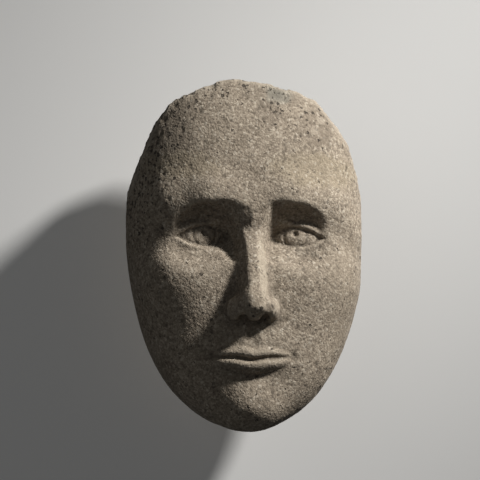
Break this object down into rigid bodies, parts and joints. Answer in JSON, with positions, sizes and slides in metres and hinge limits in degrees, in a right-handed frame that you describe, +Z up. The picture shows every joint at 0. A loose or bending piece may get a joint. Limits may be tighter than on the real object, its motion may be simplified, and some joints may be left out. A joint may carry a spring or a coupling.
{
  "type": "face relief",
  "caption": "Carved sandstone face relief: the front of a head in one block, with a broken crown edge and a flat back that is fixed to a wall.",
  "frame": {"origin": "middle of the flat back face, where the relief meets the wall", "axes": "+Z up the face, -Y out of the wall the way the face looks, +X to the right of someone facing the relief"},
  "size_m": [0.165, 0.0931, 0.2397],
  "materials": {
    "sandstone": "coarse weathered sandstone, rough and matt, with dark pits and pale abraded spots"
  },
  "bodies": {
    "root": {"stone_face": "sandstone"}
  },
  "joints": []
}
